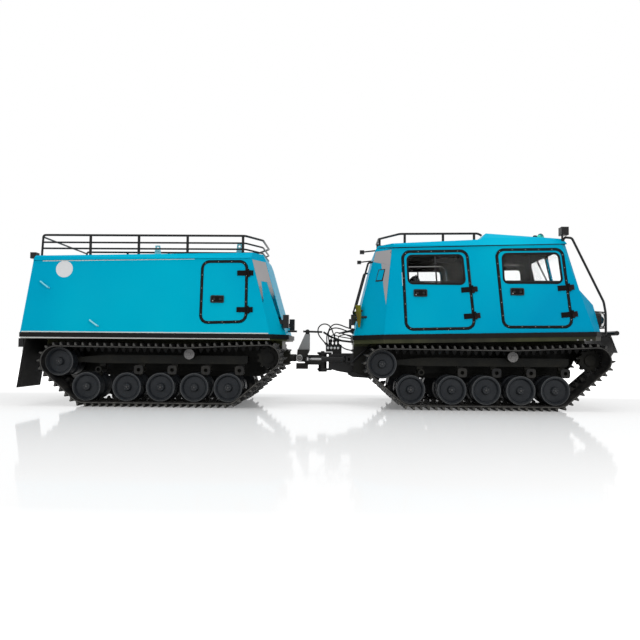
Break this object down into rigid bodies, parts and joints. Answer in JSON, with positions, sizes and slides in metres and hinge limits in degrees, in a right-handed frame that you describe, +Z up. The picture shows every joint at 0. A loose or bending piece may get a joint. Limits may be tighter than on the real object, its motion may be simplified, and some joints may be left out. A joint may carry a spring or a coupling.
{
  "type": "articulated tracked all terrain vehicle",
  "caption": "Articulated tracked carrier: a crew cabin car and a closed load car on rubber tracks, steered by cylinders at the joint between them, with opening doors and roof racks.",
  "frame": {"origin": "on the ground under the middle of the vehicle's bounding box", "axes": "+X forward along the vehicle, +Y to its left, +Z up"},
  "size_m": [7.3259, 1.87, 2.196],
  "materials": {
    "body_blue": "gloss enamel",
    "black_rubber": "moulded strip",
    "black_paint": "satin",
    "track_rubber": "worn rubber",
    "wheel_grey": "moulded rubber and paint",
    "hull_olive": "weathered",
    "window_glass": "clear",
    "steel_grey": "bare and greased",
    "lamp_amber": "lens",
    "cast_iron": "rough",
    "grey_plastic": "grained",
    "floor_ply": "coated plywood",
    "seat_fabric": "woven"
  },
  "bodies": {
    "front_car": {"dashboard": "grey_plastic", "engine_block": "cast_iron", "engine_cover": "grey_plastic", "front_beacon": "lamp_amber", "front_bumper": "black_paint", "front_cabin": "body_blue", "front_drawbar": "black_paint", "front_headlamps": "black_paint", "front_left_track": "track_rubber", "front_mirror_guards": "black_paint", "front_rear_fittings": "black_paint", "front_right_track": "track_rubber", "front_roof": "body_blue", "front_roof_rack": "black_paint", "front_seats": "seat_fabric", "front_sprockets": "black_paint", "front_strips": "black_rubber", "front_track_frames": "black_paint", "front_tub": "hull_olive", "front_wheels": "wheel_grey", "front_windscreen": "window_glass", "hose_high_arch": "black_rubber", "hose_long_loop": "black_rubber", "hose_low_arch": "black_rubber", "valve_block": "steel_grey"},
    "bonnet": {"front_bonnet": "body_blue"},
    "left_cargo_door": {"left_cargo_door": "body_blue"},
    "left_crew_door": {"left_crew_door": "body_blue", "left_crew_door_glass": "window_glass"},
    "left_front_door": {"left_front_door": "body_blue", "left_front_door_glass": "window_glass"},
    "left_cylinder": {"left_steering_cylinder": "black_paint"},
    "left_rod": {"left_steering_rod": "steel_grey"},
    "rear_car": {"rear_box": "body_blue", "rear_fittings": "black_paint", "rear_lamps": "black_paint", "rear_left_track": "track_rubber", "rear_load_floor": "floor_ply", "rear_mud_flaps": "black_rubber", "rear_right_track": "track_rubber", "rear_roof": "body_blue", "rear_roof_rack": "black_paint", "rear_sprockets": "black_paint", "rear_strips": "black_rubber", "rear_track_frames": "black_paint", "rear_tub": "hull_olive", "rear_wheels": "wheel_grey"},
    "right_cargo_door": {"right_cargo_door": "body_blue"},
    "right_crew_door": {"right_crew_door": "body_blue", "right_crew_door_glass": "window_glass"},
    "right_front_door": {"right_front_door": "body_blue", "right_front_door_glass": "window_glass"},
    "right_cylinder": {"right_steering_cylinder": "black_paint"},
    "right_rod": {"right_steering_rod": "steel_grey"},
    "roll_link": {"roll_link": "cast_iron"},
    "steering_knuckle": {"steering_knuckle": "cast_iron"},
    "steering_wheel": {"steering_wheel": "grey_plastic"},
    "tail_door": {"tail_door": "body_blue"}
  },
  "joints": [
    {"name": "steering_yaw", "type": "hinge", "parent": "front_car", "child": "steering_knuckle", "pos_m": [0.042, 0, 0.547], "axis": [0, 0, 1], "range_deg": [-30, 30]},
    {"name": "pitch_pin", "type": "hinge", "parent": "steering_knuckle", "child": "roll_link", "pos_m": [-0.26, 0, 0.588], "axis": [0, 1, 0], "range_deg": [-12, 12]},
    {"name": "roll_bearing", "type": "hinge", "parent": "roll_link", "child": "rear_car", "pos_m": [-0.6, 0, 0.588], "axis": [1, 0, 0], "range_deg": [-12, 12]},
    {"name": "right_cylinder_swing", "type": "hinge", "parent": "front_car", "child": "right_cylinder", "pos_m": [0.36, -0.25, 0.577], "axis": [0, 0, 1], "range_deg": [-11, 11]},
    {"name": "right_rod_slide", "type": "slide", "parent": "right_cylinder", "child": "right_rod", "axis": [-0.9932, 0.1168, 0], "range_m": [-0.115, 0.115]},
    {"name": "left_cylinder_swing", "type": "hinge", "parent": "front_car", "child": "left_cylinder", "pos_m": [0.36, 0.25, 0.577], "axis": [0, 0, 1], "range_deg": [-11, 11]},
    {"name": "left_rod_slide", "type": "slide", "parent": "left_cylinder", "child": "left_rod", "axis": [-0.9932, -0.1168, 0], "range_m": [-0.115, 0.115]},
    {"name": "right_front_door_hinge", "type": "hinge", "parent": "front_car", "child": "right_front_door", "pos_m": [3.018, -0.90066, 0.97325], "axis": [-0.092, 0.0893, 0.9917], "range_deg": [0, 75]},
    {"name": "left_front_door_hinge", "type": "hinge", "parent": "front_car", "child": "left_front_door", "pos_m": [3.018, 0.90066, 0.97325], "axis": [0.092, 0.0893, -0.9917], "range_deg": [0, 75]},
    {"name": "right_crew_door_hinge", "type": "hinge", "parent": "front_car", "child": "right_crew_door", "pos_m": [1.873, -0.90282, 0.94925], "axis": [-0.082, 0.0893, 0.9926], "range_deg": [0, 75]},
    {"name": "left_crew_door_hinge", "type": "hinge", "parent": "front_car", "child": "left_crew_door", "pos_m": [1.873, 0.90282, 0.94925], "axis": [0.082, 0.0893, -0.9926], "range_deg": [0, 75]},
    {"name": "right_cargo_door_hinge", "type": "hinge", "parent": "rear_car", "child": "right_cargo_door", "pos_m": [-0.84, -0.8976, 1.00726], "axis": [-0.0065, 0.0896, 0.996], "range_deg": [0, 80]},
    {"name": "left_cargo_door_hinge", "type": "hinge", "parent": "rear_car", "child": "left_cargo_door", "pos_m": [-0.84, 0.8976, 1.00726], "axis": [0.0065, 0.0896, -0.996], "range_deg": [0, 80]},
    {"name": "bonnet_hinge", "type": "hinge", "parent": "front_car", "child": "bonnet", "pos_m": [3.12664, 0, 1.42921], "axis": [0, -1, 0], "range_deg": [0, 60]},
    {"name": "tail_door_hinge", "type": "hinge", "parent": "rear_car", "child": "tail_door", "pos_m": [-3.52758, 0.433, 1.33164], "axis": [-0.1169, 0, -0.9931], "range_deg": [0, 100]},
    {"name": "steering_wheel_turn", "type": "hinge", "parent": "front_car", "child": "steering_wheel", "pos_m": [2.79, 0.47, 1.37], "axis": [-0.8437, 0, 0.5369], "range_deg": [-540, 540]}
  ],
  "couplings": [
    {"joint": "right_cylinder_swing", "follows": "steering_yaw", "ratio": 0.31574},
    {"joint": "right_rod_slide", "follows": "steering_yaw", "m_per_rad": -0.2078},
    {"joint": "left_cylinder_swing", "follows": "steering_yaw", "ratio": 0.31574},
    {"joint": "left_rod_slide", "follows": "steering_yaw", "m_per_rad": 0.2078}
  ]
}
